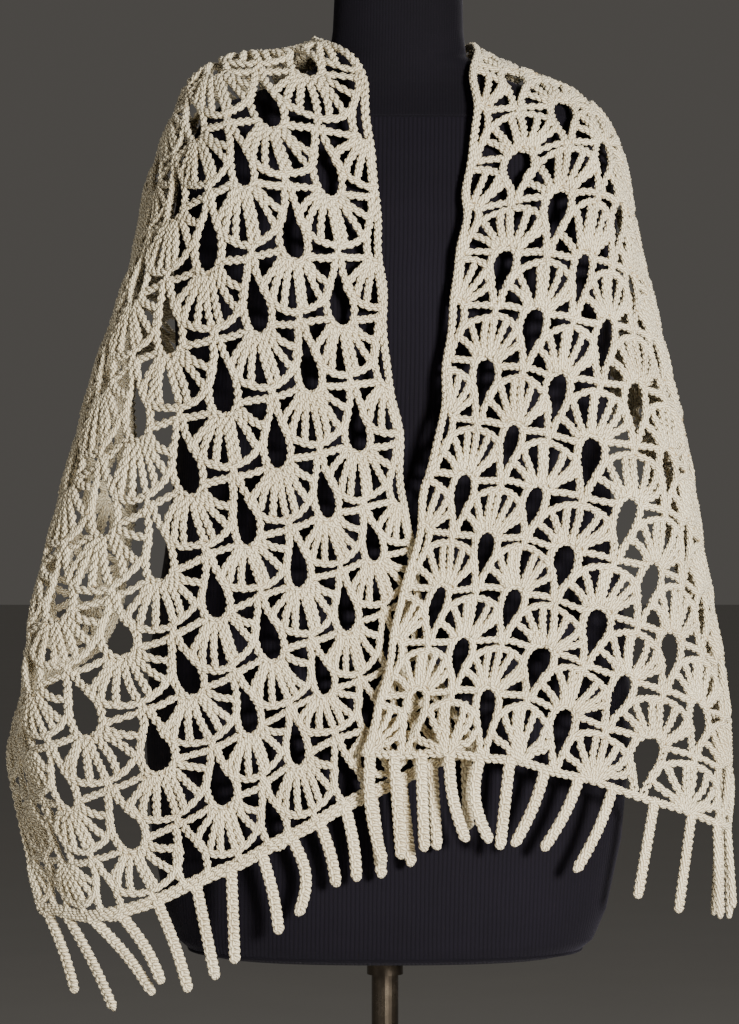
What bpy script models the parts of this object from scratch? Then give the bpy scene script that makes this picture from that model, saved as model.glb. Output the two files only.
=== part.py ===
"""Lace stole on a limbless dress form and its stand.

Metres, +Z up. The stand's underside is at z = 0 with the pole on the Z axis, the front of the form
faces -Y, and +X is the right-hand side of someone looking at that front. The stole is one long
strip of lace: u counts its six columns from the neck edge (0) to the outer edge (6), and v counts
its rows from the right-hand hem (0), over both shoulders, to the left-hand hem (33).
"""

import math

import bmesh
import bpy
from mathutils import Vector

# ---- Stole: one wall of crocheted lace, in five stretches ----------------------------------------
WALL = 0.006
COLUMN_WIDTH = 0.066
SEAM_ROWS = 0.010
COLUMN_CELLS = 18
STRETCHES = (
    # name,                 first v, last v, cells along v
    ("stole_front_right", 0.0, 9.0, 9),
    ("stole_shoulder_right", 9.0, 13.8, 9),
    ("stole_back", 13.8, 19.6, 8),
    ("stole_shoulder_left", 19.6, 24.0, 9),
    ("stole_front_left", 24.0, 33.0, 9),
)

# The drape has one row for each line across the stole: v, then the place of each guide line.
GUIDES = (0.0, 1.5, 3.0, 4.5, 6.0)
DRAPE = (
    # v, neck edge, inner guide, middle guide, outer guide, outer edge
    (0.0, (-0.018, -0.152, 0.981), (0.078, -0.150, 0.979), (0.169, -0.130, 0.957),
     (0.282, -0.050, 0.915), (0.291, 0.048, 0.907)),
    (0.6, (-0.007, -0.150, 1.012), (0.082, -0.148, 1.018), (0.177, -0.128, 0.988),
     (0.285, -0.046, 0.947), (0.291, 0.052, 0.944)),
    (2.6, (0.013, -0.146, 1.101), (0.101, -0.144, 1.100), (0.205, -0.118, 1.071),
     (0.284, -0.038, 1.036), (0.281, 0.056, 1.038)),
    (5.6, (0.044, -0.137, 1.244), (0.131, -0.137, 1.227), (0.235, -0.095, 1.210),
     (0.266, 0.000, 1.176), (0.245, 0.084, 1.176)),
    (8.6, (0.060, -0.118, 1.379), (0.161, -0.117, 1.372), (0.222, -0.048, 1.350),
     (0.240, 0.020, 1.288), (0.220, 0.104, 1.251)),
    (10.6, (0.071, -0.090, 1.454), (0.183, -0.062, 1.476), (0.216, 0.008, 1.412),
     (0.225, 0.076, 1.334), (0.188, 0.146, 1.275)),
    (12.6, (0.077, -0.047, 1.546), (0.170, 0.000, 1.533), (0.203, 0.062, 1.462),
     (0.186, 0.125, 1.366), (0.150, 0.156, 1.266)),
    (13.8, (0.077, 0.018, 1.580), (0.140, 0.054, 1.532), (0.168, 0.104, 1.452),
     (0.146, 0.142, 1.357), (0.114, 0.158, 1.248)),
    (15.2, (0.046, 0.070, 1.574), (0.074, 0.108, 1.492), (0.082, 0.139, 1.400),
     (0.072, 0.153, 1.303), (0.056, 0.158, 1.206)),
    (16.7, (0.010, 0.081, 1.566), (0.004, 0.114, 1.478), (0.000, 0.139, 1.384),
     (-0.004, 0.152, 1.287), (-0.006, 0.156, 1.190)),
    (18.2, (-0.029, 0.069, 1.572), (-0.066, 0.108, 1.492), (-0.084, 0.138, 1.401),
     (-0.084, 0.153, 1.304), (-0.074, 0.158, 1.208)),
    (19.6, (-0.060, 0.003, 1.584), (-0.130, 0.046, 1.548), (-0.166, 0.080, 1.474),
     (-0.176, 0.122, 1.378), (-0.150, 0.156, 1.272)),
    (20.6, (-0.027, -0.064, 1.556), (-0.146, -0.012, 1.560), (-0.189, 0.006, 1.497),
     (-0.210, 0.072, 1.409), (-0.210, 0.132, 1.322)),
    (22.6, (-0.010, -0.090, 1.454), (-0.120, -0.108, 1.466), (-0.195, -0.048, 1.426),
     (-0.225, 0.010, 1.349), (-0.222, 0.090, 1.293)),
    (24.6, (-0.004, -0.120, 1.355), (-0.105, -0.127, 1.346), (-0.212, -0.072, 1.319),
     (-0.258, -0.008, 1.253), (-0.221, 0.060, 1.183)),
    (27.6, (0.013, -0.130, 1.202), (-0.081, -0.142, 1.182), (-0.187, -0.130, 1.143),
     (-0.297, -0.056, 1.092), (-0.243, 0.022, 1.067)),
    (29.1, (0.022, -0.130, 1.140), (-0.068, -0.142, 1.112), (-0.170, -0.132, 1.071),
     (-0.292, -0.080, 1.022), (-0.308, 0.004, 1.016)),
    (30.6, (0.032, -0.128, 1.079), (-0.052, -0.140, 1.042), (-0.148, -0.131, 0.999),
     (-0.268, -0.100, 0.953), (-0.319, -0.016, 0.963)),
    (31.6, (0.046, -0.127, 1.032), (-0.045, -0.138, 1.005), (-0.134, -0.130, 0.955),
     (-0.248, -0.106, 0.905), (-0.306, -0.034, 0.901)),
    (33.0, (0.071, -0.126, 0.983), (-0.024, -0.137, 0.940), (-0.120, -0.128, 0.888),
     (-0.225, -0.106, 0.844), (-0.289, -0.056, 0.843)),
)

# ---- Fringe: a crocheted cord hangs from the hem at each row of these tables ---------------------
FRINGE_RADIUS = 0.0044
FRINGE_SIDES = 8
FRINGE_CELLS = 4
FRINGE_GAP = 0.0003
FRINGE_RIGHT = (
    # u, drop, lean of the tip towards +X, bow of the middle towards +X
    (0.08, 0.086, 0.011, -0.005),
    (0.38, 0.082, 0.006, 0.000),
    (0.72, 0.076, 0.003, 0.000),
    (1.08, 0.068, 0.014, -0.004),
    (1.48, 0.067, 0.008, -0.008),
    (1.88, 0.069, -0.008, 0.000),
    (2.38, 0.060, -0.026, 0.003),
    (2.84, 0.056, -0.030, 0.003),
    (3.24, 0.066, -0.031, 0.003),
    (3.66, 0.077, -0.014, 0.000),
    (4.06, 0.079, -0.011, 0.000),
    (4.44, 0.077, 0.003, 0.000),
    (4.82, 0.066, 0.005, 0.000),
    (5.22, 0.076, 0.002, 0.000),
    (5.58, 0.074, -0.002, 0.000),
    (5.92, 0.077, -0.004, 0.000),
)
FRINGE_LEFT = (
    # u, drop, lean of the tip towards +X, bow of the middle towards +X
    (0.08, 0.060, 0.002, 0.000),
    (0.52, 0.064, 0.004, 0.000),
    (0.92, 0.066, 0.008, 0.000),
    (1.30, 0.064, 0.008, 0.000),
    (1.64, 0.056, 0.009, 0.002),
    (1.98, 0.049, 0.014, 0.002),
    (2.34, 0.060, 0.005, 0.009),
    (2.72, 0.062, 0.014, 0.002),
    (3.10, 0.074, 0.003, 0.000),
    (3.50, 0.074, 0.016, 0.000),
    (3.94, 0.071, 0.026, 0.002),
    (4.40, 0.054, 0.034, 0.004),
    (4.88, 0.060, 0.051, 0.004),
    (5.44, 0.077, 0.040, 0.002),
    (5.90, 0.066, 0.024, 0.002),
)

# ---- Dress form ----------------------------------------------------------------------------------
FORM_BOTTOM = 0.800
FORM_TOP = 1.650
FORM_LEAN = 0.012
FORM_SIDES = 40
FORM_SQUARENESS = 2.35
FORM_SECTIONS = (
    # z, half width, front depth, back depth
    (0.800, 0.150, 0.085, 0.085),
    (0.804, 0.166, 0.098, 0.098),
    (0.814, 0.178, 0.107, 0.108),
    (0.840, 0.189, 0.114, 0.118),
    (0.900, 0.201, 0.118, 0.126),
    (0.980, 0.207, 0.118, 0.126),
    (1.060, 0.205, 0.113, 0.117),
    (1.140, 0.194, 0.104, 0.104),
    (1.220, 0.185, 0.101, 0.100),
    (1.300, 0.186, 0.112, 0.108),
    (1.370, 0.189, 0.106, 0.114),
    (1.430, 0.190, 0.090, 0.110),
    (1.480, 0.183, 0.072, 0.092),
    (1.510, 0.169, 0.058, 0.074),
    (1.5275, 0.150, 0.049, 0.059),
    (1.5415, 0.112, 0.044, 0.052),
    (1.553, 0.080, 0.043, 0.048),
    (1.568, 0.059, 0.044, 0.046),
    (1.590, 0.056, 0.048, 0.049),
    (1.620, 0.055, 0.051, 0.051),
    (1.650, 0.055, 0.053, 0.053),
)
CAP_RADIUS = 0.050
CAP_HEIGHT = 0.012
PIECE_GAP = 0.0003

# ---- Stand ---------------------------------------------------------------------------------------
POLE_RADIUS = 0.0115
FLANGE_RADIUS = 0.030
FLANGE_HEIGHT = 0.018
BASE_RADIUS = 0.150
BASE_EDGE = 0.006
BASE_HEIGHT = 0.016
HUB_RADIUS = 0.024
HUB_HEIGHT = 0.045
ROUND_SIDES = 48
POLE_SIDES = 24

# ---- Materials: colour, roughness, metallic ------------------------------------------------------
COTTON = ("ivory_cotton", (0.78, 0.72, 0.58, 1.0), 0.85, 0.0)
JERSEY = ("navy_jersey", (0.012, 0.010, 0.024, 1.0), 0.80, 0.0)
DARK_WOOD = ("dark_wood", (0.030, 0.020, 0.016, 1.0), 0.45, 0.0)
DARK_METAL = ("dark_metal", (0.120, 0.095, 0.075, 1.0), 0.28, 1.0)


def clear_scene():
    for thing in list(bpy.data.objects):
        bpy.data.objects.remove(thing, do_unlink=True)


def material(spec):
    name, colour, roughness, metallic = spec
    made = bpy.data.materials.get(name)
    if made is None:
        made = bpy.data.materials.new(name)
        made.use_nodes = True
        shader = made.node_tree.nodes["Principled BSDF"]
        shader.inputs["Base Color"].default_value = colour
        shader.inputs["Roughness"].default_value = roughness
        shader.inputs["Metallic"].default_value = metallic
    return made


def add_solid(name, points, faces, spec, smooth=True):
    mesh = bpy.data.meshes.new(name)
    mesh.from_pydata([tuple(p) for p in points], [], faces)
    tidy = bmesh.new()
    tidy.from_mesh(mesh)
    bmesh.ops.recalc_face_normals(tidy, faces=tidy.faces)
    tidy.to_mesh(mesh)
    tidy.free()
    for face in mesh.polygons:
        face.use_smooth = smooth
    mesh.materials.append(material(spec))
    solid = bpy.data.objects.new(name, mesh)
    bpy.context.scene.collection.objects.link(solid)
    return solid


def smooth_curve(knots, values, t):
    """A smooth curve through the values at the knots, read at t."""
    last = len(knots) - 1
    i = 0
    while i < last - 1 and t > knots[i + 1]:
        i += 1
    slopes = []
    for k in (i, i + 1):
        before = max(k - 1, 0)
        after = min(k + 1, last)
        slopes.append((values[after] - values[before]) / (knots[after] - knots[before]))
    step = knots[i + 1] - knots[i]
    s = (t - knots[i]) / step
    start = values[i] * (2 * s ** 3 - 3 * s ** 2 + 1) + slopes[0] * (step * (s ** 3 - 2 * s ** 2 + s))
    end = values[i + 1] * (3 * s ** 2 - 2 * s ** 3) + slopes[1] * (step * (s ** 3 - s ** 2))
    return start + end


DRAPE_ROWS = [row[0] for row in DRAPE]
DRAPE_GUIDES = [[Vector(row[1 + g]) for row in DRAPE] for g in range(len(GUIDES))]


def drape(u, v):
    """The middle of the stole's wall at column u and row v."""
    across = [smooth_curve(DRAPE_ROWS, guide, v) for guide in DRAPE_GUIDES]
    return smooth_curve(GUIDES, across, u)


def drape_normal(u, v):
    """The direction out of the stole's outer face at column u and row v."""
    small = 0.02
    along_u = drape(u + small, v) - drape(u - small, v)
    along_v = drape(u, v + small) - drape(u, v - small)
    return along_u.cross(along_v).normalized()


def stole_stretch(name, first, last, cells):
    """One closed wall between two rows of the strip."""
    first += SEAM_ROWS / 2
    last -= SEAM_ROWS / 2
    wide = COLUMN_CELLS + 1
    points = []
    for side in (0.5, -0.5):
        for j in range(cells + 1):
            v = first + (last - first) * j / cells
            for i in range(wide):
                u = GUIDES[-1] * i / COLUMN_CELLS
                points.append(drape(u, v) + drape_normal(u, v) * WALL * side)
    inner = wide * (cells + 1)
    faces = []
    for j in range(cells):
        for i in range(COLUMN_CELLS):
            a = j * wide + i
            faces.append((a, a + 1, a + wide + 1, a + wide))
            faces.append((a + inner, a + inner + wide, a + inner + wide + 1, a + inner + 1))
    rim = [i for i in range(wide)]
    rim += [j * wide + COLUMN_CELLS for j in range(1, cells + 1)]
    rim += [cells * wide + i for i in range(COLUMN_CELLS - 1, -1, -1)]
    rim += [j * wide for j in range(cells - 1, 0, -1)]
    for a, b in zip(rim, rim[1:] + rim[:1]):
        faces.append((a, a + inner, b + inner, b))
    solid = add_solid(name, points, faces, COTTON)
    split = solid.modifiers.new("triangles", "TRIANGULATE")
    split.quad_method = "SHORTEST_DIAGONAL"


def tube(name, path, radius, sides, spec):
    """A round tube with closed ends along a path that hangs down; its top end is level."""
    points = []
    for k, centre in enumerate(path):
        ahead = path[min(k + 1, len(path) - 1)]
        behind = path[max(k - 1, 0)]
        along = (ahead - behind).normalized() if k else Vector((0.0, 0.0, -1.0))
        across = Vector((0.0, 1.0, 0.0)).cross(along).normalized()
        third = along.cross(across)
        for s in range(sides):
            turn = 2 * math.pi * s / sides
            points.append(centre + (across * math.cos(turn) + third * math.sin(turn)) * radius)
    faces = []
    for k in range(len(path) - 1):
        for s in range(sides):
            a = k * sides + s
            b = k * sides + (s + 1) % sides
            faces.append((a, b, b + sides, a + sides))
    faces.append(tuple(range(sides)))
    faces.append(tuple(range((len(path) - 1) * sides, len(path) * sides)))
    add_solid(name, points, faces, spec)


def fringe_cord(name, u, hem, drop, lean, bow):
    """A cord that starts just clear of the hem's rim and hangs down from it."""
    reach = FRINGE_RADIUS / COLUMN_WIDTH
    start = drape(u, hem)
    rim = min(drape(u + step, hem).z for step in (-reach, 0.0, reach))
    inside = hem + (0.1 if hem == 0.0 else -0.1)
    start.z = rim - FRINGE_GAP - abs(drape_normal(u, inside).z) * WALL / 2
    path = []
    for k in range(FRINGE_CELLS + 1):
        t = k / FRINGE_CELLS
        sideways = lean * t + bow * math.sin(math.pi * t)
        path.append(start + Vector((sideways, 0.0, -drop * t)))
    tube(name, path, FRINGE_RADIUS, FRINGE_SIDES, COTTON)


def form_centre(z):
    return FORM_LEAN * (z - FORM_BOTTOM) / (FORM_TOP - FORM_BOTTOM)


def dress_form():
    """The padded torso and neck, one closed skin from the bottom to the top of the neck."""
    points = []
    power = 2.0 / FORM_SQUARENESS
    for z, half_width, front, back in FORM_SECTIONS:
        for s in range(FORM_SIDES):
            turn = 2 * math.pi * s / FORM_SIDES
            c = math.cos(turn)
            d = math.sin(turn)
            depth = back if d > 0 else front
            x = math.copysign(abs(c) ** power, c) * half_width + form_centre(z)
            y = math.copysign(abs(d) ** power, d) * depth
            points.append((x, y, z))
    rings = len(FORM_SECTIONS)
    faces = []
    for k in range(rings - 1):
        for s in range(FORM_SIDES):
            a = k * FORM_SIDES + s
            b = k * FORM_SIDES + (s + 1) % FORM_SIDES
            faces.append((a, b, b + FORM_SIDES, a + FORM_SIDES))
    faces.append(tuple(range(FORM_SIDES)))
    faces.append(tuple(range((rings - 1) * FORM_SIDES, rings * FORM_SIDES)))
    add_solid("dress_form", points, faces, JERSEY)


def turned(name, profile, centre_x, sides, spec):
    """A solid of revolution from (radius, height) pairs, closed at both ends."""
    points = []
    for radius, z in profile:
        for s in range(sides):
            turn = 2 * math.pi * s / sides
            points.append((centre_x + radius * math.cos(turn), radius * math.sin(turn), z))
    faces = []
    for k in range(len(profile) - 1):
        for s in range(sides):
            a = k * sides + s
            b = k * sides + (s + 1) % sides
            faces.append((a, b, b + sides, a + sides))
    faces.append(tuple(range(sides)))
    faces.append(tuple(range((len(profile) - 1) * sides, len(profile) * sides)))
    add_solid(name, points, faces, spec)


def neck_cap():
    bottom = FORM_TOP + PIECE_GAP
    top = bottom + CAP_HEIGHT
    profile = ((CAP_RADIUS, bottom), (CAP_RADIUS, top - 0.005), (CAP_RADIUS - 0.003, top - 0.001),
               (CAP_RADIUS - 0.010, top))
    turned("neck_cap", profile, FORM_LEAN, ROUND_SIDES, DARK_WOOD)


def stand():
    """Round base plate, hub, pole and the flange that holds the form."""
    base = ((BASE_RADIUS, 0.0), (BASE_RADIUS, BASE_EDGE), (BASE_RADIUS - 0.004, BASE_EDGE + 0.003),
            (HUB_RADIUS + 0.006, BASE_HEIGHT))
    turned("stand_base", base, 0.0, ROUND_SIDES, DARK_METAL)
    hub_bottom = BASE_HEIGHT + PIECE_GAP
    hub_top = hub_bottom + HUB_HEIGHT
    hub = ((HUB_RADIUS, hub_bottom), (HUB_RADIUS, hub_bottom + 0.008),
           (POLE_RADIUS + 0.005, hub_bottom + 0.016), (POLE_RADIUS + 0.005, hub_top))
    turned("stand_hub", hub, 0.0, ROUND_SIDES, DARK_METAL)
    flange_top = FORM_BOTTOM - PIECE_GAP
    flange_bottom = flange_top - FLANGE_HEIGHT
    flange = ((POLE_RADIUS + 0.004, flange_bottom), (POLE_RADIUS + 0.004, flange_top - 0.005),
              (FLANGE_RADIUS, flange_top - 0.004), (FLANGE_RADIUS, flange_top))
    turned("form_flange", flange, 0.0, ROUND_SIDES, DARK_METAL)
    pole = ((POLE_RADIUS, hub_top + PIECE_GAP), (POLE_RADIUS, flange_bottom - PIECE_GAP))
    turned("stand_pole", pole, 0.0, POLE_SIDES, DARK_METAL)


def main():
    clear_scene()
    dress_form()
    neck_cap()
    stand()
    for name, first, last, cells in STRETCHES:
        stole_stretch(name, first, last, cells)
    for side, hem, table in (("right", 0.0, FRINGE_RIGHT), ("left", 33.0, FRINGE_LEFT)):
        for number, (u, drop, lean, bow) in enumerate(table, start=1):
            fringe_cord("fringe_%s_%02d" % (side, number), u, hem, drop, lean, bow)


main()
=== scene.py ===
"""Crocheted lace stole on its dress form and stand, in the CAD frame.

The stole is worked out flat, in metres: a runs across it from the neck edge, b runs along it from
the right-hand hem. Each yarn is drawn there as a line and then laid on the drape.
"""

import math

import bpy
import numpy as np
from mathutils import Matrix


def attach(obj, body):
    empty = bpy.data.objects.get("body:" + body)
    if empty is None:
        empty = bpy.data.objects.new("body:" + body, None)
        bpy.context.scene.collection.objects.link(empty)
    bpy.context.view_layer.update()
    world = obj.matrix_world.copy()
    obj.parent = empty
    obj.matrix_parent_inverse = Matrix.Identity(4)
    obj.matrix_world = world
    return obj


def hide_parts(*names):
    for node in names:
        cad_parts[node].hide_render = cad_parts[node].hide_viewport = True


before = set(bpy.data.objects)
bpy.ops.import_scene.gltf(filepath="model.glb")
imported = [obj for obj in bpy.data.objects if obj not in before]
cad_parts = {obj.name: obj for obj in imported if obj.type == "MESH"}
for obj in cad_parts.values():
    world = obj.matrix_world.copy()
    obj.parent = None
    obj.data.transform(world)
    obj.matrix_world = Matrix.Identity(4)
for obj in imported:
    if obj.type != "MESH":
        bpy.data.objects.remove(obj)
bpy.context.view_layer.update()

TURN = 2.0 * math.pi
COLUMN = 0.066
ROW = 0.050
COLUMNS = 6
ROWS = 33
noise = np.random.RandomState(11)

# ---- The drape: one row for each line across the stole -------------------------------------------
GUIDES = np.array((0.0, 1.5, 3.0, 4.5, 6.0))
DRAPE = (
    # v, neck edge, inner guide, middle guide, outer guide, outer edge
    (0.0, (-0.018, -0.152, 0.981), (0.078, -0.150, 0.979), (0.169, -0.130, 0.957),
     (0.282, -0.050, 0.915), (0.291, 0.048, 0.907)),
    (0.6, (-0.007, -0.150, 1.012), (0.082, -0.148, 1.018), (0.177, -0.128, 0.988),
     (0.285, -0.046, 0.947), (0.291, 0.052, 0.944)),
    (2.6, (0.013, -0.146, 1.101), (0.101, -0.144, 1.100), (0.205, -0.118, 1.071),
     (0.284, -0.038, 1.036), (0.281, 0.056, 1.038)),
    (5.6, (0.044, -0.137, 1.244), (0.131, -0.137, 1.227), (0.235, -0.095, 1.210),
     (0.266, 0.000, 1.176), (0.245, 0.084, 1.176)),
    (8.6, (0.060, -0.118, 1.379), (0.161, -0.117, 1.372), (0.222, -0.048, 1.350),
     (0.240, 0.020, 1.288), (0.220, 0.104, 1.251)),
    (10.6, (0.071, -0.090, 1.454), (0.183, -0.062, 1.476), (0.216, 0.008, 1.412),
     (0.225, 0.076, 1.334), (0.188, 0.146, 1.275)),
    (12.6, (0.077, -0.047, 1.546), (0.170, 0.000, 1.533), (0.203, 0.062, 1.462),
     (0.186, 0.125, 1.366), (0.150, 0.156, 1.266)),
    (13.8, (0.077, 0.018, 1.580), (0.140, 0.054, 1.532), (0.168, 0.104, 1.452),
     (0.146, 0.142, 1.357), (0.114, 0.158, 1.248)),
    (15.2, (0.046, 0.070, 1.574), (0.074, 0.108, 1.492), (0.082, 0.139, 1.400),
     (0.072, 0.153, 1.303), (0.056, 0.158, 1.206)),
    (16.7, (0.010, 0.081, 1.566), (0.004, 0.114, 1.478), (0.000, 0.139, 1.384),
     (-0.004, 0.152, 1.287), (-0.006, 0.156, 1.190)),
    (18.2, (-0.029, 0.069, 1.572), (-0.066, 0.108, 1.492), (-0.084, 0.138, 1.401),
     (-0.084, 0.153, 1.304), (-0.074, 0.158, 1.208)),
    (19.6, (-0.060, 0.003, 1.584), (-0.130, 0.046, 1.548), (-0.166, 0.080, 1.474),
     (-0.176, 0.122, 1.378), (-0.150, 0.156, 1.272)),
    (20.6, (-0.027, -0.064, 1.556), (-0.146, -0.012, 1.560), (-0.189, 0.006, 1.497),
     (-0.210, 0.072, 1.409), (-0.210, 0.132, 1.322)),
    (22.6, (-0.010, -0.090, 1.454), (-0.120, -0.108, 1.466), (-0.195, -0.048, 1.426),
     (-0.225, 0.010, 1.349), (-0.222, 0.090, 1.293)),
    (24.6, (-0.004, -0.120, 1.355), (-0.105, -0.127, 1.346), (-0.212, -0.072, 1.319),
     (-0.258, -0.008, 1.253), (-0.221, 0.060, 1.183)),
    (27.6, (0.013, -0.130, 1.202), (-0.081, -0.142, 1.182), (-0.187, -0.130, 1.143),
     (-0.297, -0.056, 1.092), (-0.243, 0.022, 1.067)),
    (29.1, (0.022, -0.130, 1.140), (-0.068, -0.142, 1.112), (-0.170, -0.132, 1.071),
     (-0.292, -0.080, 1.022), (-0.308, 0.004, 1.016)),
    (30.6, (0.032, -0.128, 1.079), (-0.052, -0.140, 1.042), (-0.148, -0.131, 0.999),
     (-0.268, -0.100, 0.953), (-0.319, -0.016, 0.963)),
    (31.6, (0.046, -0.127, 1.032), (-0.045, -0.138, 1.005), (-0.134, -0.130, 0.955),
     (-0.248, -0.106, 0.905), (-0.306, -0.034, 0.901)),
    (33.0, (0.071, -0.126, 0.983), (-0.024, -0.137, 0.940), (-0.120, -0.128, 0.888),
     (-0.225, -0.106, 0.844), (-0.289, -0.056, 0.843)),
)
STRETCHES = (
    # name, first row, last row
    ("front_right", 0.0, 9.0),
    ("shoulder_right", 9.0, 13.8),
    ("back", 13.8, 19.6),
    ("shoulder_left", 19.6, 24.0),
    ("front_left", 24.0, 33.0),
)


def slopes(knots, values):
    """Slopes for a smooth curve, along the first axis."""
    low = np.maximum(np.arange(len(knots)) - 1, 0)
    high = np.minimum(np.arange(len(knots)) + 1, len(knots) - 1)
    gap = (knots[high] - knots[low]).reshape((-1,) + (1,) * (values.ndim - 1))
    return (values[high] - values[low]) / gap


def blend_weights(knots, t):
    """The knot before each t, with the weights of both knots' values and slopes."""
    i = np.clip(np.searchsorted(knots, t) - 1, 0, len(knots) - 2)
    step = knots[i + 1] - knots[i]
    s = (t - knots[i]) / step
    weights = (2 * s ** 3 - 3 * s ** 2 + 1, 3 * s ** 2 - 2 * s ** 3,
               step * (s ** 3 - 2 * s ** 2 + s), step * (s ** 3 - s ** 2))
    return i, weights


DRAPE_ROWS = np.array([row[0] for row in DRAPE])
DRAPE_POINTS = np.array([row[1:] for row in DRAPE])
DRAPE_SLOPES = slopes(DRAPE_ROWS, DRAPE_POINTS)


def drape(u, v):
    """The middle of the stole's wall at columns u and rows v."""
    i, w = blend_weights(DRAPE_ROWS, v)
    w = [x[:, None, None] for x in w]
    across = DRAPE_POINTS[i] * w[0] + DRAPE_POINTS[i + 1] * w[1]
    across = across + DRAPE_SLOPES[i] * w[2] + DRAPE_SLOPES[i + 1] * w[3]
    lines = np.moveaxis(across, 1, 0)
    tilt = slopes(GUIDES, lines)
    j, w = blend_weights(GUIDES, u)
    w = [x[:, None] for x in w]
    n = np.arange(len(u))
    return lines[j, n] * w[0] + lines[j + 1, n] * w[1] + tilt[j, n] * w[2] + tilt[j + 1, n] * w[3]


def unit(vectors):
    """Vectors cut to a length of one, along the last axis."""
    return vectors / np.maximum(np.linalg.norm(vectors, axis=-1, keepdims=True), 1e-12)


def lay(flat):
    """Flat points (a, b, height above the middle of the wall) to places and outward directions."""
    shape = flat.shape[:-1]
    a, b, h = flat.reshape(-1, 3).T
    u = a / COLUMN
    v = b / ROW
    small = 0.02
    across = drape(u + small, v) - drape(u - small, v)
    along = drape(u, v + small) - drape(u, v - small)
    out = unit(np.cross(across, along))
    places = drape(u, v) + out * h[:, None]
    return places.reshape(shape + (3,)), out.reshape(shape + (3,))


# ---- Yarn lines and tubes ------------------------------------------------------------------------
# Metres: a yarn's radius, how far two yarns swing from their line, and the length of one turn.
YARN = 0.00190
TWIST = 0.00162
TWIST_LENGTH = 0.0120
YARN_SIDES = 5
YARN_SPREAD = 0.05


def resample(points, count):
    """A smooth line through a few flat points, with count points evenly along it."""
    points = np.array(points, float)
    knots = np.arange(len(points), dtype=float)
    tangent = slopes(knots, points)
    i, w = blend_weights(knots, np.linspace(0.0, len(points) - 1.0, 12 * len(points)))
    w = [x[:, None] for x in w]
    fine = points[i] * w[0] + points[i + 1] * w[1] + tangent[i] * w[2] + tangent[i + 1] * w[3]
    run = np.concatenate(([0.0], np.cumsum(np.linalg.norm(np.diff(fine, axis=0), axis=1))))
    wanted = np.linspace(0.0, run[-1], count)
    return np.stack([np.interp(wanted, run, fine[:, k]) for k in range(points.shape[1])], axis=-1)


def twisted(lines, lift, reach=TWIST, pitch=TWIST_LENGTH, phase=None):
    """Two yarns wound round each flat line; lines is (count, points, 2), lift a height or heights."""
    count = len(lines)
    step = np.linalg.norm(np.diff(lines, axis=1), axis=2)
    run = np.concatenate((np.zeros((count, 1)), np.cumsum(step, axis=1)), axis=1)
    ahead = unit(np.gradient(lines, axis=1))
    side = np.stack((-ahead[..., 1], ahead[..., 0]), axis=-1)
    if phase is None:
        phase = noise.uniform(0.0, TURN, (count, 1))
    yarns = []
    for half in (0.0, 0.5):
        angle = TURN * (run / pitch + half) + phase
        swing = np.sign(np.cos(angle)) * np.abs(np.cos(angle)) ** 0.5
        flat = lines + side * (reach * swing)[..., None]
        height = lift + reach * 0.85 * np.sin(angle)
        yarns.append(np.concatenate((flat, height[..., None]), axis=-1))
    return np.concatenate(yarns)


def tubes(paths, normals, radius, sides):
    """Closed tubes: corner points, quads, end caps and two surface coordinates for each corner."""
    count, n = paths.shape[:2]
    ahead = unit(np.gradient(paths, axis=1))
    first = unit(np.cross(normals, ahead))
    second = np.cross(ahead, first)
    angle = TURN * np.arange(sides) / sides
    ring = first[:, :, None] * np.cos(angle)[:, None] + second[:, :, None] * np.sin(angle)[:, None]
    radius = np.broadcast_to(radius, (count, n))
    points = paths[:, :, None] + ring * radius[:, :, None, None]
    base = (np.arange(count) * n * sides)[:, None, None]
    k = (np.arange(n - 1) * sides)[None, :, None]
    s = np.arange(sides)[None, None, :]
    t = (s + 1) % sides
    quads = np.stack((base + k + s, base + k + t, base + k + sides + t, base + k + sides + s), -1)
    start = base[:, 0] + np.arange(sides)[::-1]
    end = base[:, 0] + (n - 1) * sides + np.arange(sides)
    caps = np.concatenate((start, end))
    step = np.linalg.norm(np.diff(paths, axis=1), axis=2)
    run = np.concatenate((np.zeros((count, 1)), np.cumsum(step, axis=1)), axis=1) * 100.0
    low = np.broadcast_to(run[:, :-1, None], quads.shape[:3])
    high = np.broadcast_to(run[:, 1:, None], quads.shape[:3])
    left = np.broadcast_to(s / sides, quads.shape[:3])
    right = left + 1.0 / sides
    surface = np.stack((np.stack((left, low), -1), np.stack((right, low), -1),
                        np.stack((right, high), -1), np.stack((left, high), -1)), 3)
    return points.reshape(-1, 3), quads.reshape(-1, 4), caps, surface.reshape(-1, 2)


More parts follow.
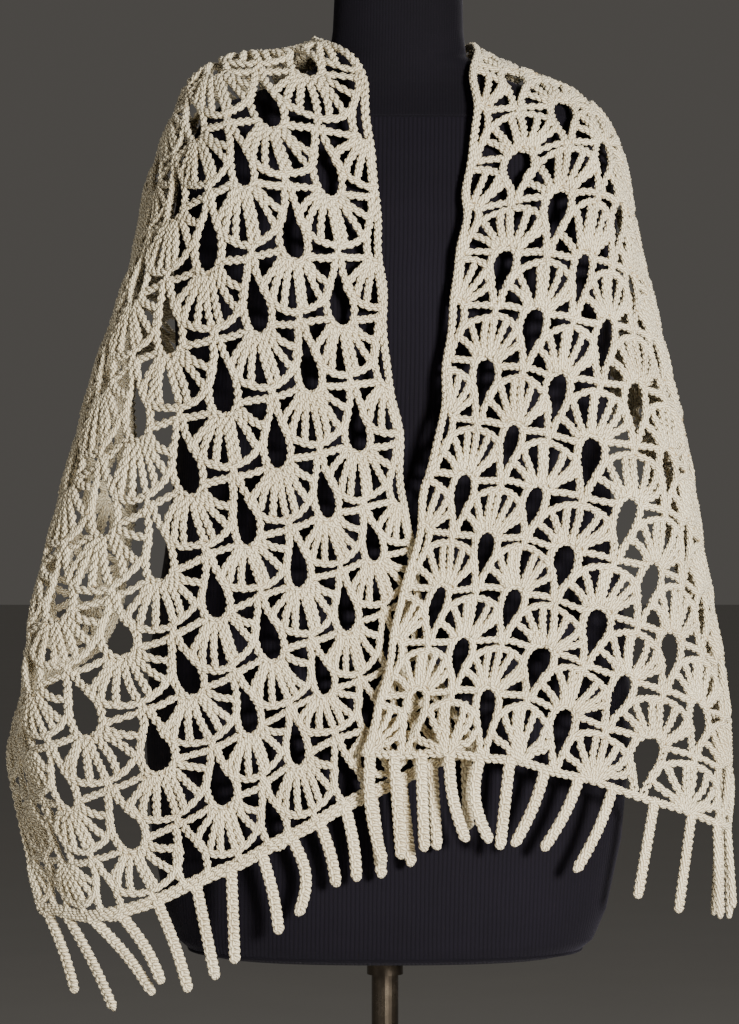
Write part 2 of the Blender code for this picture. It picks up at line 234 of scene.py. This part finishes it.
def yarn_object(name, batches):
    """One mesh from batches of (paths, outward directions, radius, sides)."""
    points = []
    loops = []
    sizes = []
    surface = []
    total = 0
    for paths, normals, radius, sides in batches:
        p, quads, caps, uv = tubes(paths, normals, radius, sides)
        points.append(p)
        loops.extend((quads.ravel() + total, caps.ravel() + total))
        sizes.extend((np.full(len(quads), 4), np.full(len(caps), sides)))
        surface.extend((uv, np.zeros((caps.size, 2))))
        total += len(p)
    points = np.concatenate(points)
    loops = np.concatenate(loops)
    sizes = np.concatenate(sizes)
    surface = np.concatenate(surface)
    mesh = bpy.data.meshes.new(name)
    mesh.vertices.add(len(points))
    mesh.vertices.foreach_set("co", points.ravel().astype(np.float32))
    mesh.loops.add(len(loops))
    mesh.loops.foreach_set("vertex_index", loops.astype(np.int32))
    mesh.polygons.add(len(sizes))
    mesh.polygons.foreach_set("loop_start", (np.cumsum(sizes) - sizes).astype(np.int32))
    mesh.uv_layers.new(name="yarn").data.foreach_set("uv", surface.ravel().astype(np.float32))
    mesh.polygons.foreach_set("use_smooth", np.ones(len(sizes), dtype=bool))
    mesh.update(calc_edges=True)
    mesh.validate()
    made = bpy.data.objects.new(name, mesh)
    bpy.context.scene.collection.objects.link(made)
    return made


# ---- One motif, flat, in millimetres from its joint; b runs towards its fan ----------------------
TEARDROP = ((2.5, -6.0), (2.8, 2.0), (3.7, 8.0), (6.0, 14.0), (8.6, 21.0), (10.0, 29.0), (10.2, 37.5),
            (8.6, 45.0), (4.8, 50.0), (0.0, 51.6))
FAN_EDGE = ((27.2, 62.0), (26.0, 69.5), (22.0, 77.4), (15.6, 83.2), (8.4, 86.8), (0.0, 88.4))
FAN_POSTS = (
    # foot, two points on the way, top
    ((-8.6, 48.6), (-14.0, 56.4), (-20.0, 61.2), (-26.4, 65.0)),
    ((-5.6, 50.4), (-9.6, 60.0), (-14.6, 70.5), (-19.4, 79.8)),
    ((-2.6, 51.2), (-3.8, 61.0), (-5.6, 73.0), (-6.6, 86.0)),
    ((0.8, 51.6), (0.8, 61.0), (0.0, 74.0), (-0.8, 87.4)),
    ((4.0, 51.0), (6.8, 61.0), (9.6, 72.0), (11.8, 84.4)),
    ((6.8, 49.8), (12.0, 58.6), (17.2, 67.2), (20.8, 77.6)),
    ((9.0, 48.6), (14.6, 55.6), (20.2, 60.4), (25.4, 67.0)),
)
BAR = ((0.0, -4.0), (8.0, -3.6), (17.0, -4.2), (25.5, -5.0))
LINK = ((0.0, 88.0), (0.0, 92.0), (0.0, 97.0))
POST_POINTS = 14
EDGE_POINTS = 36
LOOP_POINTS = 48
BAR_POINTS = 10
LINK_POINTS = 4
EDGE_PLAY = 0.0035
CHAIN_STEP = 0.0022
HEM_STEP = 0.0020
HEM_REACH = 0.002
HEM_DOUBLE = 0.0048


def motif_columns(row):
    """The columns of the motifs that have their joint on this row."""
    if row % 2:
        return np.arange(0.0, COLUMNS + 1.0)
    return np.arange(0.5, COLUMNS)


def loosened(flat):
    """A slow unevenness over the whole strip, as handwork has."""
    a = flat[..., 0]
    b = flat[..., 1]
    da = 0.0011 * np.sin(TURN * (b / 0.137 + a / 0.31)) + 0.0007 * np.sin(TURN * (b / 0.059 - a / 0.083))
    db = 0.0012 * np.sin(TURN * (a / 0.119 + b / 0.41)) + 0.0007 * np.sin(TURN * (a / 0.047 + b / 0.091))
    dh = 0.0006 * np.sin(TURN * (a / 0.071 + b / 0.053))
    inside = np.clip(np.minimum(b, ROWS * ROW - b) / 0.03, 0.0, 1.0)
    return flat + np.stack((da, db * inside, dh), axis=-1)


def in_stole(lines):
    """Which whole lines stay between the two long edges."""
    inside = (lines[..., 0] > -EDGE_PLAY) & (lines[..., 0] < COLUMNS * COLUMN + EDGE_PLAY)
    return inside.all(axis=1)


def placed(template, points, row, columns, sway=0.0):
    """A motif line at every column of a row: (columns, points, 2), in metres on the flat strip."""
    line = resample(template, points) * 0.001
    lines = line[None] + np.stack((columns * COLUMN, np.full(len(columns), row * ROW)), -1)[:, None]
    if sway:
        t = np.linspace(0.0, 1.0, points)[None, :, None]
        push = noise.normal(0.0, sway, (len(columns), 1, 2))
        lines = lines + push * np.sin(math.pi * t * 0.62 + 0.25)
    return lines


def fan_row(row):
    """The fans whose joint is on this row, as twisted yarn paths."""
    columns = motif_columns(row)
    paths = []
    for post in FAN_POSTS:
        if row < 0:  # The first hem has no teardrops, so its posts start close together.
            post = ((post[0][0] * 0.35, 50.0), (post[1][0] * 0.8, post[1][1] + 2.0)) + post[2:]
        lines = placed(post, POST_POINTS, row, columns, 0.0012)
        lines = lines[in_stole(lines)]
        if len(lines):
            rise = 0.0004 + 0.0006 * np.sin(math.pi * np.linspace(0.0, 1.0, POST_POINTS))
            paths.append(twisted(lines, rise))
    for sign in (1.0, -1.0):
        side = [(a * sign, b) for a, b in FAN_EDGE]
        lines = placed(side, EDGE_POINTS // 2, row, columns, 0.0006)
        lines = lines[in_stole(lines)]
        paths.append(twisted(lines, 0.0006))
    return paths


def net_row(row):
    """The teardrops, bars and links whose joint is on this row."""
    columns = motif_columns(row)
    paths = []
    if row >= 0:
        for sign in (1.0, -1.0):
            half = [(a * sign, max(b, 0.0) if row == 0 else b) for a, b in TEARDROP]
            lines = placed(half, LOOP_POINTS // 2, row, columns, 0.0005)
            lines = lines[in_stole(lines)]
            paths.append(twisted(lines, 0.0, TWIST * 1.08))
    if row >= 1:
        for sign in (1.0, -1.0):
            lines = placed([(a * sign, b) for a, b in BAR], BAR_POINTS, row, columns, 0.0005)
            lines = lines[in_stole(lines)]
            paths.append(twisted(lines, -0.0004, TWIST * 1.08))
    if row < ROWS - 1:
        lines = placed(LINK, LINK_POINTS, row, columns)
        paths.append(twisted(lines, 0.0004))
    return paths


def selvedge(first, last):
    """The chain along each long edge, from one row to another, with its shallow scallops."""
    count = int((last - first) * ROW / CHAIN_STEP)
    b = np.linspace(first * ROW, last * ROW, count)
    lines = []
    for edge, way in ((0.0, -1.0), (COLUMNS * COLUMN, 1.0)):
        swell = 0.0012 * np.cos(TURN * (b / (2.0 * ROW) - 0.35)) + 0.0006
        lines.append(np.stack((edge + way * swell, b), axis=-1))
    return twisted(np.array(lines), 0.0, TWIST * 1.12, TWIST_LENGTH, np.zeros((2, 1)))


def hem_chain(row):
    """The chain along a hem, which is doubled at the last row."""
    count = int(COLUMNS * COLUMN / HEM_STEP)
    a = np.linspace(-HEM_REACH, COLUMNS * COLUMN + HEM_REACH, count)
    lines = []
    for step in (0.0, -HEM_DOUBLE) if row == ROWS else (0.0,):
        lines.append(np.stack((a, row * ROW + step + 0.0008 * np.cos(TURN * a / COLUMN)), axis=-1))
    return twisted(np.array(lines), 0.0, TWIST * 1.1)


def laid(paths):
    """Flat yarn paths to batches for a mesh, the paths of one length together."""
    batches = []
    for flat in paths:
        if len(flat):
            places, out = lay(loosened(flat))
            swell = 1.0 + YARN_SPREAD * noise.normal(0.0, 1.0, (len(flat), 1))
            batches.append((places, out, YARN * swell, YARN_SIDES))
    return batches


# ---- Fringe cords --------------------------------------------------------------------------------
FRINGE_RIGHT = (
    # u, drop, lean of the tip towards +X, bow of the middle towards +X
    (0.08, 0.086, 0.011, -0.005),
    (0.38, 0.082, 0.006, 0.000),
    (0.72, 0.076, 0.003, 0.000),
    (1.08, 0.068, 0.014, -0.004),
    (1.48, 0.067, 0.008, -0.008),
    (1.88, 0.069, -0.008, 0.000),
    (2.38, 0.060, -0.026, 0.003),
    (2.84, 0.056, -0.030, 0.003),
    (3.24, 0.066, -0.031, 0.003),
    (3.66, 0.077, -0.014, 0.000),
    (4.06, 0.079, -0.011, 0.000),
    (4.44, 0.077, 0.003, 0.000),
    (4.82, 0.066, 0.005, 0.000),
    (5.22, 0.076, 0.002, 0.000),
    (5.58, 0.074, -0.002, 0.000),
    (5.92, 0.077, -0.004, 0.000),
)
FRINGE_LEFT = (
    # u, drop, lean of the tip towards +X, bow of the middle towards +X
    (0.08, 0.060, 0.002, 0.000),
    (0.52, 0.064, 0.004, 0.000),
    (0.92, 0.066, 0.008, 0.000),
    (1.30, 0.064, 0.008, 0.000),
    (1.64, 0.056, 0.009, 0.002),
    (1.98, 0.049, 0.014, 0.002),
    (2.34, 0.060, 0.005, 0.009),
    (2.72, 0.062, 0.014, 0.002),
    (3.10, 0.074, 0.003, 0.000),
    (3.50, 0.074, 0.016, 0.000),
    (3.94, 0.071, 0.026, 0.002),
    (4.40, 0.054, 0.034, 0.004),
    (4.88, 0.060, 0.051, 0.004),
    (5.44, 0.077, 0.040, 0.002),
    (5.90, 0.066, 0.024, 0.002),
)
BRAID_YARN = 0.00215
BRAID_REACH = 0.0030
BRAID_LENGTH = 0.0170
BRAID_POINTS = 48
BRAID_SIDES = 7
BRAID_LIFT = 0.0013
BRAID_TIP = 0.004
CORD_ROOT = 0.03
CORD_OVERHANG = 0.003


def fringe(table, hem):
    """Three yarns braided round each cord's line, drawn together at its tip."""
    batches = []
    for u, drop, lean, bow in table:
        top, out = lay(np.array([[u * COLUMN, hem * ROW, 0.0]]))
        t = np.linspace(-CORD_ROOT, 1.0, BRAID_POINTS)
        line = np.repeat(top, BRAID_POINTS, axis=0)
        line[:, 0] += lean * t + bow * np.sin(math.pi * np.clip(t, 0.0, 1.0))
        line[:, 2] -= (drop + CORD_OVERHANG) * t
        ahead = unit(np.gradient(line, axis=0))
        level = out[0] * np.array((1.0, 1.0, 0.0))
        side = unit(np.cross(ahead, unit(level)))
        face = np.cross(side, ahead)
        run = np.concatenate(([0.0], np.cumsum(np.linalg.norm(np.diff(line, axis=0), axis=1))))
        close = np.clip((run[-1] - run) / BRAID_TIP, 0.0, 1.0) ** 0.5
        start = noise.uniform(0.0, TURN)
        paths = []
        for third in (0.0, 1.0 / 3.0, 2.0 / 3.0):
            angle = TURN * (run / BRAID_LENGTH + third) + start
            swing = BRAID_REACH * np.sin(angle) * close
            over = BRAID_LIFT * np.sin(2.0 * angle) * close
            paths.append(line + side * swing[:, None] + face * over[:, None])
        paths = np.array(paths)
        thick = BRAID_YARN * (0.62 + 0.38 * close)
        normals = np.repeat(face[None], 3, axis=0)
        batches.append((paths, normals, thick, BRAID_SIDES))
    return batches


# ---- Materials -----------------------------------------------------------------------------------
def new_material(name):
    made = bpy.data.materials.new(name)
    made.use_nodes = True
    tree = made.node_tree
    return made, tree, tree.nodes["Principled BSDF"]


def node(tree, kind, **settings):
    made = tree.nodes.new(kind)
    for key, value in settings.items():
        setattr(made, key, value)
    return made


def maths(tree, operation, first, second=None):
    made = node(tree, "ShaderNodeMath", operation=operation)
    for place, value in enumerate((first, second)):
        if value is None:
            continue
        if isinstance(value, (int, float)):
            made.inputs[place].default_value = value
        else:
            tree.links.new(value, made.inputs[place])
    return made.outputs[0]


def ramp(tree, factor, stops):
    made = node(tree, "ShaderNodeValToRGB")
    tree.links.new(factor, made.inputs["Fac"])
    while len(made.color_ramp.elements) < len(stops):
        made.color_ramp.elements.new(0.5)
    for element, (place, colour) in zip(made.color_ramp.elements, stops):
        element.position = place
        element.color = colour + (1.0,)
    return made.outputs["Color"]


def noise_texture(tree, vector, scale, detail=2.0, rough=0.5):
    made = node(tree, "ShaderNodeTexNoise")
    made.inputs["Scale"].default_value = scale
    made.inputs["Detail"].default_value = detail
    made.inputs["Roughness"].default_value = rough
    tree.links.new(vector, made.inputs["Vector"])
    return made.outputs["Fac"]


def bump(tree, height, distance, strength, normal=None):
    made = node(tree, "ShaderNodeBump")
    made.inputs["Distance"].default_value = distance
    made.inputs["Strength"].default_value = strength
    tree.links.new(height, made.inputs["Height"])
    if normal is not None:
        tree.links.new(normal, made.inputs["Normal"])
    return made.outputs["Normal"]


def cotton_yarn(name, light, shade):
    """Matt spun cotton: plies wound along the yarn, fuzz and slow changes of tone, and painted shade that
    darkens the colour between the plies.
    """
    made, tree, shader = new_material(name)
    uv = node(tree, "ShaderNodeUVMap", uv_map="yarn")
    place = node(tree, "ShaderNodeTexCoord").outputs["Object"]
    split = node(tree, "ShaderNodeSeparateXYZ")
    tree.links.new(uv.outputs["UV"], split.inputs[0])
    wind = maths(tree, "ADD", maths(tree, "MULTIPLY", split.outputs["X"], 3.0),
                 maths(tree, "MULTIPLY", split.outputs["Y"], 3.4))
    plies = maths(tree, "ABSOLUTE", maths(tree, "SINE", maths(tree, "MULTIPLY", wind, math.pi)))
    fuzz = noise_texture(tree, place, 1500.0, 3.0, 0.6)
    tone = noise_texture(tree, place, 22.0, 3.0, 0.6)
    # Painted shade: the colour runs from the shade colour where the plies dip between each other up to the
    # yarn's own colour on their tops, with a random tone on top of that.
    painted_shade_and_tone = maths(tree, "ADD", maths(tree, "MULTIPLY", plies, 0.6), maths(tree, "MULTIPLY", tone, 0.4))
    tree.links.new(ramp(tree, painted_shade_and_tone, ((0.25, shade), (0.82, light))), shader.inputs["Base Color"])
    soft = bump(tree, fuzz, 0.0002, 0.35)
    tree.links.new(bump(tree, plies, 0.0008, 0.9, soft), shader.inputs["Normal"])
    shader.inputs["Roughness"].default_value = 0.9
    shader.inputs["Specular IOR Level"].default_value = 0.25
    shader.inputs["Sheen Weight"].default_value = 0.25
    shader.inputs["Sheen Roughness"].default_value = 0.6
    return made


def ribbed_jersey(name, pitch, depth):
    """Near-black knitted cover with fine upright ribs, whose colour is darkened in the grooves between them
    as painted shade.
    """
    made, tree, shader = new_material(name)
    uv = node(tree, "ShaderNodeUVMap", uv_map="ribs")
    place = node(tree, "ShaderNodeTexCoord").outputs["Object"]
    split = node(tree, "ShaderNodeSeparateXYZ")
    tree.links.new(uv.outputs["UV"], split.inputs[0])
    waver = maths(tree, "MULTIPLY", noise_texture(tree, place, 14.0, 2.0), 0.7)
    count = maths(tree, "ADD", maths(tree, "MULTIPLY", split.outputs["X"], 1.0 / pitch), waver)
    ribs = maths(tree, "POWER", maths(tree, "ABSOLUTE", maths(
        tree, "SINE", maths(tree, "MULTIPLY", count, math.pi))), 0.6)
    rows = maths(tree, "ABSOLUTE", maths(tree, "SINE", maths(
        tree, "MULTIPLY", split.outputs["Y"], math.pi / 0.0016)))
    tone = noise_texture(tree, place, 9.0, 4.0, 0.6)
    lint = noise_texture(tree, place, 700.0, 2.0, 0.7)
    # Painted shade: the colour is darker in the grooves between the ribs, as much as depth says, with a
    # random tone and lint on top of that.
    painted_shade_and_tone = maths(tree, "ADD", maths(tree, "MULTIPLY", ribs, depth), maths(tree, "MULTIPLY", tone, 0.4))
    painted_shade_and_tone = maths(tree, "ADD", painted_shade_and_tone, maths(tree, "MULTIPLY", lint, 0.12))
    colour = ramp(tree, painted_shade_and_tone, ((0.20, (0.0014, 0.0011, 0.0023)), (0.95, (0.0076, 0.0060, 0.0118))))
    tree.links.new(colour, shader.inputs["Base Color"])
    fine = bump(tree, rows, 0.0002, 0.25)
    tree.links.new(bump(tree, ribs, 0.0006, 0.9 * depth + 0.2, fine), shader.inputs["Normal"])
    shader.inputs["Roughness"].default_value = 0.88
    shader.inputs["Specular IOR Level"].default_value = 0.14
    shader.inputs["Sheen Weight"].default_value = 0.03
    shader.inputs["Sheen Roughness"].default_value = 0.5
    shader.inputs["Sheen Tint"].default_value = (0.62, 0.58, 0.85, 1.0)
    return made


def dark_metal(name):
    made, tree, shader = new_material(name)
    place = node(tree, "ShaderNodeTexCoord").outputs["Object"]
    tone = noise_texture(tree, place, 35.0, 5.0, 0.65)
    scratch = node(tree, "ShaderNodeMapping")
    scratch.inputs["Scale"].default_value = (900.0, 900.0, 14.0)
    tree.links.new(place, scratch.inputs["Vector"])
    lines = noise_texture(tree, scratch.outputs["Vector"], 1.0, 2.0)
    tree.links.new(ramp(tree, tone, ((0.30, (0.075, 0.060, 0.048)), (0.75, (0.20, 0.165, 0.125)))),
                   shader.inputs["Base Color"])
    rough = maths(tree, "ADD", maths(tree, "MULTIPLY", tone, 0.16), 0.18)
    tree.links.new(rough, shader.inputs["Roughness"])
    tree.links.new(bump(tree, lines, 0.0001, 0.12), shader.inputs["Normal"])
    shader.inputs["Metallic"].default_value = 1.0
    return made


def dark_wood(name):
    made, tree, shader = new_material(name)
    place = node(tree, "ShaderNodeTexCoord").outputs["Object"]
    stretch = node(tree, "ShaderNodeMapping")
    stretch.inputs["Scale"].default_value = (260.0, 30.0, 60.0)
    tree.links.new(place, stretch.inputs["Vector"])
    grain = noise_texture(tree, stretch.outputs["Vector"], 1.0, 5.0, 0.6)
    tree.links.new(ramp(tree, grain, ((0.30, (0.012, 0.007, 0.005)), (0.70, (0.050, 0.026, 0.016)))),
                   shader.inputs["Base Color"])
    tree.links.new(bump(tree, grain, 0.0002, 0.2), shader.inputs["Normal"])
    shader.inputs["Roughness"].default_value = 0.5
    return made


def plain_surface(name, colour):
    made, tree, shader = new_material(name)
    place = node(tree, "ShaderNodeTexCoord").outputs["Object"]
    tone = noise_texture(tree, place, 3.0, 3.0)
    low = tuple(c * 0.97 for c in colour)
    tree.links.new(ramp(tree, tone, ((0.3, low), (0.7, colour))), shader.inputs["Base Color"])
    shader.inputs["Roughness"].default_value = 0.9
    return made


# ---- Dress form's cover --------------------------------------------------------------------------
FORM_BOTTOM = 0.800
FORM_TOP = 1.650
FORM_LEAN = 0.012
FORM_SQUARENESS = 2.35
COLLAR_SEAM = 1.511
FORM_SECTIONS = np.array((
    # z, half width, front depth, back depth
    (0.800, 0.150, 0.085, 0.085),
    (0.804, 0.166, 0.098, 0.098),
    (0.814, 0.178, 0.107, 0.108),
    (0.840, 0.189, 0.114, 0.118),
    (0.900, 0.201, 0.118, 0.126),
    (0.980, 0.207, 0.118, 0.126),
    (1.060, 0.205, 0.113, 0.117),
    (1.140, 0.194, 0.104, 0.104),
    (1.220, 0.185, 0.101, 0.100),
    (1.300, 0.186, 0.112, 0.108),
    (1.370, 0.189, 0.106, 0.114),
    (1.430, 0.190, 0.090, 0.110),
    (1.480, 0.183, 0.072, 0.092),
    (1.510, 0.169, 0.058, 0.074),
    (1.5275, 0.150, 0.049, 0.059),
    (1.5415, 0.112, 0.044, 0.052),
    (1.553, 0.080, 0.043, 0.048),
    (1.568, 0.059, 0.044, 0.046),
    (1.590, 0.056, 0.048, 0.049),
    (1.620, 0.055, 0.051, 0.051),
    (1.650, 0.055, 0.053, 0.053),
))


def form_points(z, turn, grow=0.0):
    """Points on the form's skin at heights z and turns round it."""
    widths = [np.interp(z, FORM_SECTIONS[:, 0], FORM_SECTIONS[:, k]) for k in (1, 2, 3)]
    c = np.cos(turn)
    d = np.sin(turn)
    power = 2.0 / FORM_SQUARENESS
    depth = np.where(d > 0.0, widths[2], widths[1])
    x = np.sign(c) * np.abs(c) ** power * (widths[0] + grow)
    x = x + FORM_LEAN * (z - FORM_BOTTOM) / (FORM_TOP - FORM_BOTTOM)
    return np.stack((x, np.sign(d) * np.abs(d) ** power * (depth + grow), z), axis=-1)


def form_cover(name, low, high, step, sides):
    """A closed skin of the form between two heights; its first surface coordinate runs round it."""
    heights = np.unique(np.concatenate((np.arange(low, high, step), [high],
                                        FORM_SECTIONS[:, 0][(FORM_SECTIONS[:, 0] > low)
                                                            & (FORM_SECTIONS[:, 0] < high)])))
    heights = heights[np.concatenate(([True], np.diff(heights) > 0.0004))]
    turn = TURN * np.arange(sides + 1) / sides
    z, t = np.meshgrid(heights, turn, indexing="ij")
    points = form_points(z, t)
    round_way = np.linalg.norm(np.diff(points, axis=1), axis=2)
    arc = np.concatenate((np.zeros((len(heights), 1)), np.cumsum(round_way, axis=1)), axis=1)
    middle = arc[:, sides * 3 // 4][:, None]
    arc = arc - middle
    rows = len(heights)
    k, s = np.meshgrid(np.arange(rows - 1), np.arange(sides), indexing="ij")
    nxt = (s + 1) % sides
    quads = np.stack((k * sides + s, k * sides + nxt, (k + 1) * sides + nxt, (k + 1) * sides + s), -1)
    faces = [tuple(int(q) for q in f) for f in quads.reshape(-1, 4)]
    faces.append(tuple(range(sides))[::-1])
    faces.append(tuple(range((rows - 1) * sides, rows * sides)))
    corners = np.stack((arc[:-1, :-1], z[:-1, :-1], arc[:-1, 1:], z[:-1, 1:],
                        arc[1:, 1:], z[1:, 1:], arc[1:, :-1], z[1:, :-1]), -1).reshape(-1, 2)
    corners = np.concatenate((corners, np.zeros((2 * sides, 2))))
    mesh = bpy.data.meshes.new(name)
    mesh.from_pydata([tuple(p) for p in points[:, :-1].reshape(-1, 3)], [], faces)
    mesh.uv_layers.new(name="ribs").data.foreach_set("uv", corners.ravel().astype(np.float32))
    for face in mesh.polygons:
        face.use_smooth = len(face.vertices) == 4
    made = bpy.data.objects.new(name, mesh)
    bpy.context.scene.collection.objects.link(made)
    return made


def form_ring(name, z, radius, grow, sides=160, tube_sides=8):
    """A round welt on the form's skin at one height."""
    turn = TURN * np.arange(sides) / sides
    line = form_points(np.full(sides, z), turn, grow)
    ahead = unit(np.roll(line, -1, axis=0) - np.roll(line, 1, axis=0))
    out = unit(np.cross(ahead, np.array((0.0, 0.0, 1.0))))
    angle = TURN * np.arange(tube_sides) / tube_sides
    ring = out[:, None] * np.cos(angle)[:, None] + np.array((0.0, 0.0, 1.0)) * np.sin(angle)[:, None]
    points = (line[:, None] + ring * radius).reshape(-1, 3)
    k, s = np.meshgrid(np.arange(sides), np.arange(tube_sides), indexing="ij")
    k2 = (k + 1) % sides
    s2 = (s + 1) % tube_sides
    quads = np.stack((k * tube_sides + s, k2 * tube_sides + s, k2 * tube_sides + s2, k * tube_sides + s2), -1)
    mesh = bpy.data.meshes.new(name)
    mesh.from_pydata([tuple(p) for p in points], [], [tuple(int(q) for q in f) for f in quads.reshape(-1, 4)])
    for face in mesh.polygons:
        face.use_smooth = True
    mesh.uv_layers.new(name="ribs")
    made = bpy.data.objects.new(name, mesh)
    bpy.context.scene.collection.objects.link(made)
    return made


# ---- Build ---------------------------------------------------------------------------------------
# The yarn's own ivory, then the painted shade laid between its plies.
cotton = cotton_yarn("ivory_cotton_yarn", (0.92, 0.83, 0.60), (0.36, 0.27, 0.14))
# depth sets both the ribs' bump and how much painted shade darkens their grooves.
jersey = ribbed_jersey("navy_ribbed_jersey", 0.0036, 0.38)
collar = ribbed_jersey("navy_collar_jersey", 0.0026, 0.18)
metal = dark_metal("bronzed_metal")
wood = dark_wood("dark_turned_wood")

rows_of = {name: [] for name, first, last in STRETCHES}
for row in range(-1, ROWS):
    for name, first, last in STRETCHES:
        if first <= min(max(row + 1.0, 0.0), ROWS - 0.5) < last:
            rows_of[name].append(row)

for name, first, last in STRETCHES:
    fans = []
    nets = []
    for row in rows_of[name]:
        if row < ROWS - 1:
            fans += fan_row(row)
        nets += net_row(row)
    nets.append(selvedge(first, last))
    if first == 0.0:
        nets.append(hem_chain(0))
    if last == ROWS:
        nets.append(hem_chain(ROWS))
    fan_piece = yarn_object("lace_fans_" + name, laid(fans))
    net_piece = yarn_object("lace_net_" + name, laid(nets))
    for piece in (fan_piece, net_piece):
        piece.data.materials.append(cotton)
        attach(piece, "root")
    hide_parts("stole_" + name)
    side = {"front_right": "right", "front_left": "left"}.get(name)
    if side:
        table = FRINGE_RIGHT if side == "right" else FRINGE_LEFT
        cords = yarn_object("fringe_cords_" + side, fringe(table, 0.0 if side == "right" else ROWS))
        cords.data.materials.append(cotton)
        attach(cords, "root")
        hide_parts(*["fringe_%s_%02d" % (side, k + 1) for k in range(len(table))])

cover = form_cover("form_cover", FORM_BOTTOM, COLLAR_SEAM, 0.008, 120)
upper = form_cover("form_collar", COLLAR_SEAM + 0.0003, FORM_TOP, 0.003, 120)
welt = form_ring("collar_seam_welt", COLLAR_SEAM + 0.0004, 0.0011, -0.0004)
hem_cord = form_ring("form_bottom_piping", FORM_BOTTOM + 0.0055, 0.0016, 0.0)
for piece, finish in ((cover, jersey), (upper, collar), (welt, collar), (hem_cord, collar)):
    piece.data.materials.append(finish)
    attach(piece, "root")
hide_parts("dress_form")

for name, finish in (("neck_cap", wood), ("form_flange", metal), ("stand_pole", metal),
                     ("stand_hub", metal), ("stand_base", metal)):
    carried = bpy.data.objects[name]
    for place in carried.material_slots:
        place.material = finish

# ---- Floor, light and camera ---------------------------------------------------------------------
bpy.ops.mesh.primitive_plane_add(size=80.0, location=(0.0, 0.0, 0.0))
floor = bpy.context.object
floor.name = "floor"
floor.data.materials.append(plain_surface("pale_floor", (0.56, 0.55, 0.53)))

world = bpy.data.worlds.new("studio")
world.use_nodes = True
world.node_tree.nodes["Background"].inputs["Color"].default_value = (0.17, 0.16, 0.147, 1.0)
world.node_tree.nodes["Background"].inputs["Strength"].default_value = 0.45
bpy.context.scene.world = world


def soft_light(name, place, aim, size, power, colour):
    data = bpy.data.lights.new(name, "AREA")
    data.shape = "RECTANGLE"
    data.size = size
    data.size_y = size
    data.energy = power
    data.color = colour
    lamp = bpy.data.objects.new(name, data)
    lamp.location = place
    ahead = np.array(aim, float) - np.array(place, float)
    level = math.hypot(ahead[0], ahead[1])
    lamp.rotation_euler = (math.atan2(level, -ahead[2]), 0.0, math.atan2(-ahead[0], ahead[1]))
    bpy.context.scene.collection.objects.link(lamp)


soft_light("key", (1.25, -2.65, 1.50), (0.08, 0.0, 1.1), 0.5, 192.0, (1.0, 0.965, 0.90))
soft_light("fill", (-2.6, -1.9, 1.7), (0.0, 0.0, 1.1), 1.8, 15.0, (0.98, 0.98, 1.0))
soft_light("rim", (0.9, 2.4, 2.8), (0.0, 0.0, 1.2), 1.6, 46.0, (1.0, 0.98, 0.95))

CAMERA_PLACE = (-0.0133, -2.9, 1.178)
PICTURE_HEIGHT = 1024
FOCAL_PIXELS = 3378.0
SENSOR = 36.0
camera_data = bpy.data.cameras.new("camera")
camera_data.sensor_fit = "VERTICAL"
camera_data.sensor_height = SENSOR
camera_data.lens = FOCAL_PIXELS * SENSOR / PICTURE_HEIGHT
camera = bpy.data.objects.new("camera", camera_data)
camera.location = CAMERA_PLACE
camera.rotation_euler = (math.pi / 2.0, 0.0, 0.0)
bpy.context.scene.collection.objects.link(camera)
bpy.context.scene.camera = camera
